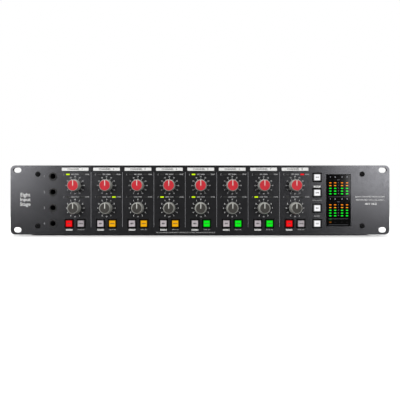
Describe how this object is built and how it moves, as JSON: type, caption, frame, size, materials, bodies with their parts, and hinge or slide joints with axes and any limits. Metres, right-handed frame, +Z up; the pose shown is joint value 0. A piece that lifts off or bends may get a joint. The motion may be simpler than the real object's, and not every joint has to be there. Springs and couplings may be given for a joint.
{
  "type": "microphone preamp",
  "caption": "Rack-mount microphone preamp: wide flat chassis whose dark front plate carries rotary knobs, lit push buttons, instrument jacks and a smoked meter window, with sockets at the back.",
  "frame": {"origin": "middle of the underside of the whole object's box: under the front plate's lower edge, half way between the knob faces and the longest rear socket", "axes": "+Z up; the front plate faces -Y; +X runs to the right as seen from the front"},
  "size_m": [0.4826, 0.321, 0.0881],
  "materials": {
    "anodised_panel": "satin anodised, dark grey",
    "black_sheet": "fine textured black powder coat",
    "black_screw": "black oxide",
    "gain_knob_plastic": "satin, red cap on a grey skirt",
    "trim_knob_plastic": "satin grey",
    "cap_unlit": "translucent, unlit",
    "cap_red": "translucent, lit red",
    "cap_amber": "translucent, lit amber",
    "cap_green": "translucent, lit green",
    "cap_white": "translucent, lit white",
    "black_plastic": "moulded, fine grain",
    "smoked_window": "polished, nearly opaque",
    "circuit_board": "solder mask",
    "ribbon_grey": "satin"
  },
  "bodies": {
    "root": {"front_panel": "anodised_panel", "chassis_tray": "black_sheet", "top_cover": "black_sheet", "rear_panel": "black_sheet", "control_board": "circuit_board", "preamp_board": "circuit_board", "converter_board": "circuit_board", "power_supply": "circuit_board", "ribbon_cable": "ribbon_grey", "meter_board": "black_plastic", "meter_window": "smoked_window", "mains_inlet": "black_plastic", "channel_button_surround": "black_plastic", "function_button_surround": "black_plastic", "panel_screw_upper_left": "black_screw", "panel_screw_upper_right": "black_screw", "panel_screw_lower_left": "black_screw", "panel_screw_lower_right": "black_screw", "instrument_jack_1": "black_plastic", "instrument_jack_2": "black_plastic", "instrument_jack_3": "black_plastic", "instrument_jack_4": "black_plastic"},
    "gain_knob_1": {"gain_knob_1": "gain_knob_plastic"},
    "gain_knob_2": {"gain_knob_2": "gain_knob_plastic"},
    "gain_knob_3": {"gain_knob_3": "gain_knob_plastic"},
    "gain_knob_4": {"gain_knob_4": "gain_knob_plastic"},
    "gain_knob_5": {"gain_knob_5": "gain_knob_plastic"},
    "gain_knob_6": {"gain_knob_6": "gain_knob_plastic"},
    "gain_knob_7": {"gain_knob_7": "gain_knob_plastic"},
    "gain_knob_8": {"gain_knob_8": "gain_knob_plastic"},
    "trim_knob_1": {"trim_knob_1": "trim_knob_plastic"},
    "trim_knob_2": {"trim_knob_2": "trim_knob_plastic"},
    "trim_knob_3": {"trim_knob_3": "trim_knob_plastic"},
    "trim_knob_4": {"trim_knob_4": "trim_knob_plastic"},
    "trim_knob_5": {"trim_knob_5": "trim_knob_plastic"},
    "trim_knob_6": {"trim_knob_6": "trim_knob_plastic"},
    "trim_knob_7": {"trim_knob_7": "trim_knob_plastic"},
    "trim_knob_8": {"trim_knob_8": "trim_knob_plastic"},
    "phantom_button_1": {"phantom_button_1": "cap_red"},
    "phantom_button_2": {"phantom_button_2": "cap_unlit"},
    "phantom_button_3": {"phantom_button_3": "cap_unlit"},
    "phantom_button_4": {"phantom_button_4": "cap_unlit"},
    "phantom_button_5": {"phantom_button_5": "cap_unlit"},
    "phantom_button_6": {"phantom_button_6": "cap_unlit"},
    "phantom_button_7": {"phantom_button_7": "cap_unlit"},
    "phantom_button_8": {"phantom_button_8": "cap_red"},
    "drive_button_1": {"drive_button_1": "cap_unlit"},
    "drive_button_2": {"drive_button_2": "cap_amber"},
    "drive_button_3": {"drive_button_3": "cap_amber"},
    "drive_button_4": {"drive_button_4": "cap_amber"},
    "drive_button_5": {"drive_button_5": "cap_green"},
    "drive_button_6": {"drive_button_6": "cap_green"},
    "drive_button_7": {"drive_button_7": "cap_green"},
    "drive_button_8": {"drive_button_8": "cap_unlit"},
    "function_button_1": {"function_button_1": "cap_white"},
    "function_button_2": {"function_button_2": "cap_white"},
    "function_button_3": {"function_button_3": "cap_white"},
    "function_button_4": {"function_button_4": "cap_white"},
    "power_rocker": {"power_rocker": "black_plastic"}
  },
  "joints": [
    {"name": "gain_knob_1_turn", "type": "hinge", "parent": "root", "child": "gain_knob_1", "pos_m": [-0.159, -0.1445, 0.06245], "axis": [0, 1, 0], "range_deg": [-150, 150]},
    {"name": "gain_knob_2_turn", "type": "hinge", "parent": "root", "child": "gain_knob_2", "pos_m": [-0.119, -0.1445, 0.06245], "axis": [0, 1, 0], "range_deg": [-150, 150]},
    {"name": "gain_knob_3_turn", "type": "hinge", "parent": "root", "child": "gain_knob_3", "pos_m": [-0.079, -0.1445, 0.06245], "axis": [0, 1, 0], "range_deg": [-150, 150]},
    {"name": "gain_knob_4_turn", "type": "hinge", "parent": "root", "child": "gain_knob_4", "pos_m": [-0.039, -0.1445, 0.06245], "axis": [0, 1, 0], "range_deg": [-150, 150]},
    {"name": "gain_knob_5_turn", "type": "hinge", "parent": "root", "child": "gain_knob_5", "pos_m": [0.001, -0.1445, 0.06245], "axis": [0, 1, 0], "range_deg": [-150, 150]},
    {"name": "gain_knob_6_turn", "type": "hinge", "parent": "root", "child": "gain_knob_6", "pos_m": [0.041, -0.1445, 0.06245], "axis": [0, 1, 0], "range_deg": [-150, 150]},
    {"name": "gain_knob_7_turn", "type": "hinge", "parent": "root", "child": "gain_knob_7", "pos_m": [0.081, -0.1445, 0.06245], "axis": [0, 1, 0], "range_deg": [-150, 150]},
    {"name": "gain_knob_8_turn", "type": "hinge", "parent": "root", "child": "gain_knob_8", "pos_m": [0.121, -0.1445, 0.06245], "axis": [0, 1, 0], "range_deg": [-150, 150]},
    {"name": "trim_knob_1_turn", "type": "hinge", "parent": "root", "child": "trim_knob_1", "pos_m": [-0.159, -0.1445, 0.03365], "axis": [0, 1, 0], "range_deg": [-150, 150]},
    {"name": "trim_knob_2_turn", "type": "hinge", "parent": "root", "child": "trim_knob_2", "pos_m": [-0.119, -0.1445, 0.03365], "axis": [0, 1, 0], "range_deg": [-150, 150]},
    {"name": "trim_knob_3_turn", "type": "hinge", "parent": "root", "child": "trim_knob_3", "pos_m": [-0.079, -0.1445, 0.03365], "axis": [0, 1, 0], "range_deg": [-150, 150]},
    {"name": "trim_knob_4_turn", "type": "hinge", "parent": "root", "child": "trim_knob_4", "pos_m": [-0.039, -0.1445, 0.03365], "axis": [0, 1, 0], "range_deg": [-150, 150]},
    {"name": "trim_knob_5_turn", "type": "hinge", "parent": "root", "child": "trim_knob_5", "pos_m": [0.001, -0.1445, 0.03365], "axis": [0, 1, 0], "range_deg": [-150, 150]},
    {"name": "trim_knob_6_turn", "type": "hinge", "parent": "root", "child": "trim_knob_6", "pos_m": [0.041, -0.1445, 0.03365], "axis": [0, 1, 0], "range_deg": [-150, 150]},
    {"name": "trim_knob_7_turn", "type": "hinge", "parent": "root", "child": "trim_knob_7", "pos_m": [0.081, -0.1445, 0.03365], "axis": [0, 1, 0], "range_deg": [-150, 150]},
    {"name": "trim_knob_8_turn", "type": "hinge", "parent": "root", "child": "trim_knob_8", "pos_m": [0.121, -0.1445, 0.03365], "axis": [0, 1, 0], "range_deg": [-150, 150]},
    {"name": "phantom_button_1_press", "type": "slide", "parent": "root", "child": "phantom_button_1", "axis": [0, 1, 0], "range_m": [0, 0.0015], "stiffness_N_per_m": 300, "springref_m": -0.003},
    {"name": "phantom_button_2_press", "type": "slide", "parent": "root", "child": "phantom_button_2", "axis": [0, 1, 0], "range_m": [0, 0.0015], "stiffness_N_per_m": 300, "springref_m": -0.003},
    {"name": "phantom_button_3_press", "type": "slide", "parent": "root", "child": "phantom_button_3", "axis": [0, 1, 0], "range_m": [0, 0.0015], "stiffness_N_per_m": 300, "springref_m": -0.003},
    {"name": "phantom_button_4_press", "type": "slide", "parent": "root", "child": "phantom_button_4", "axis": [0, 1, 0], "range_m": [0, 0.0015], "stiffness_N_per_m": 300, "springref_m": -0.003},
    {"name": "phantom_button_5_press", "type": "slide", "parent": "root", "child": "phantom_button_5", "axis": [0, 1, 0], "range_m": [0, 0.0015], "stiffness_N_per_m": 300, "springref_m": -0.003},
    {"name": "phantom_button_6_press", "type": "slide", "parent": "root", "child": "phantom_button_6", "axis": [0, 1, 0], "range_m": [0, 0.0015], "stiffness_N_per_m": 300, "springref_m": -0.003},
    {"name": "phantom_button_7_press", "type": "slide", "parent": "root", "child": "phantom_button_7", "axis": [0, 1, 0], "range_m": [0, 0.0015], "stiffness_N_per_m": 300, "springref_m": -0.003},
    {"name": "phantom_button_8_press", "type": "slide", "parent": "root", "child": "phantom_button_8", "axis": [0, 1, 0], "range_m": [0, 0.0015], "stiffness_N_per_m": 300, "springref_m": -0.003},
    {"name": "drive_button_1_press", "type": "slide", "parent": "root", "child": "drive_button_1", "axis": [0, 1, 0], "range_m": [0, 0.0015], "stiffness_N_per_m": 300, "springref_m": -0.003},
    {"name": "drive_button_2_press", "type": "slide", "parent": "root", "child": "drive_button_2", "axis": [0, 1, 0], "range_m": [0, 0.0015], "stiffness_N_per_m": 300, "springref_m": -0.003},
    {"name": "drive_button_3_press", "type": "slide", "parent": "root", "child": "drive_button_3", "axis": [0, 1, 0], "range_m": [0, 0.0015], "stiffness_N_per_m": 300, "springref_m": -0.003},
    {"name": "drive_button_4_press", "type": "slide", "parent": "root", "child": "drive_button_4", "axis": [0, 1, 0], "range_m": [0, 0.0015], "stiffness_N_per_m": 300, "springref_m": -0.003},
    {"name": "drive_button_5_press", "type": "slide", "parent": "root", "child": "drive_button_5", "axis": [0, 1, 0], "range_m": [0, 0.0015], "stiffness_N_per_m": 300, "springref_m": -0.003},
    {"name": "drive_button_6_press", "type": "slide", "parent": "root", "child": "drive_button_6", "axis": [0, 1, 0], "range_m": [0, 0.0015], "stiffness_N_per_m": 300, "springref_m": -0.003},
    {"name": "drive_button_7_press", "type": "slide", "parent": "root", "child": "drive_button_7", "axis": [0, 1, 0], "range_m": [0, 0.0015], "stiffness_N_per_m": 300, "springref_m": -0.003},
    {"name": "drive_button_8_press", "type": "slide", "parent": "root", "child": "drive_button_8", "axis": [0, 1, 0], "range_m": [0, 0.0015], "stiffness_N_per_m": 300, "springref_m": -0.003},
    {"name": "function_button_1_press", "type": "slide", "parent": "root", "child": "function_button_1", "axis": [0, 1, 0], "range_m": [0, 0.0015], "stiffness_N_per_m": 300, "springref_m": -0.003},
    {"name": "function_button_2_press", "type": "slide", "parent": "root", "child": "function_button_2", "axis": [0, 1, 0], "range_m": [0, 0.0015], "stiffness_N_per_m": 300, "springref_m": -0.003},
    {"name": "function_button_3_press", "type": "slide", "parent": "root", "child": "function_button_3", "axis": [0, 1, 0], "range_m": [0, 0.0015], "stiffness_N_per_m": 300, "springref_m": -0.003},
    {"name": "function_button_4_press", "type": "slide", "parent": "root", "child": "function_button_4", "axis": [0, 1, 0], "range_m": [0, 0.0015], "stiffness_N_per_m": 300, "springref_m": -0.003},
    {"name": "power_rocker_tip", "type": "hinge", "parent": "root", "child": "power_rocker", "pos_m": [-0.158, 0.1508, 0.028], "axis": [1, 0, 0], "range_deg": [-18, 0]}
  ]
}
